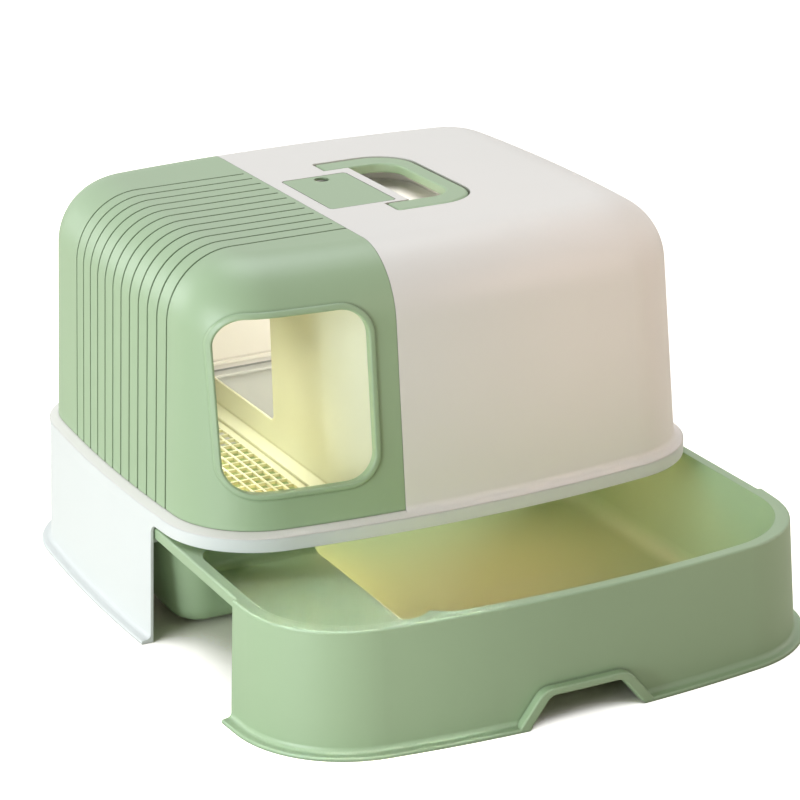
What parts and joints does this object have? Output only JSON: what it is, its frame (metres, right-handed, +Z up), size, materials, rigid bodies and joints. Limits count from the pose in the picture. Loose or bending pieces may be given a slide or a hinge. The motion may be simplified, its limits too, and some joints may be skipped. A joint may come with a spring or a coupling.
{
  "type": "drawer litter box",
  "caption": "Enclosed cat litter box: lift-off hood with a ribbed entrance cap, folding carry handle, deodoriser cartridge, entry grate and a front drawer, shown pulled out.",
  "frame": {"origin": "on the floor, in the middle of the whole footprint with the drawer pulled out", "axes": "+Z up, -Y towards the front, where the drawer comes out, +X to the right as seen from the front"},
  "size_m": [0.6018, 0.7457, 0.389],
  "materials": {
    "green_plastic": "matt injection-moulded polypropylene, sage green",
    "white_plastic": "matt injection-moulded polypropylene, white",
    "cream_plastic": "matt injection-moulded polypropylene, cream",
    "carbon_fabric": "activated carbon filter pad"
  },
  "bodies": {
    "base": {"base_frame": "white_plastic", "entry_deck": "cream_plastic", "partition": "cream_plastic"},
    "grate": {"entry_grate": "cream_plastic"},
    "hood": {"hood": "white_plastic", "entrance_cap": "green_plastic", "handle_pins": "white_plastic"},
    "handle": {"carry_handle": "green_plastic"},
    "cartridge": {"deodoriser_lid": "green_plastic", "deodoriser_basket": "white_plastic", "carbon_block": "carbon_fabric"},
    "drawer": {"drawer": "green_plastic"}
  },
  "joints": [
    {"name": "drawer_slide", "type": "slide", "parent": "base", "child": "drawer", "axis": [0, -1, 0], "range_m": [-0.193, 0.107]},
    {"name": "hood_lift", "type": "slide", "parent": "base", "child": "hood", "axis": [0, 0, 1], "range_m": [0, 0.2]},
    {"name": "handle_fold", "type": "hinge", "parent": "hood", "child": "handle", "pos_m": [0.003, 0.0925, 0.384], "axis": [0, -1, 0], "range_deg": [0, 90]},
    {"name": "cartridge_lift", "type": "slide", "parent": "hood", "child": "cartridge", "axis": [0, 0, 1], "range_m": [0, 0.045]},
    {"name": "grate_lift", "type": "slide", "parent": "base", "child": "grate", "axis": [0, 0, 1], "range_m": [0, 0.1]}
  ]
}
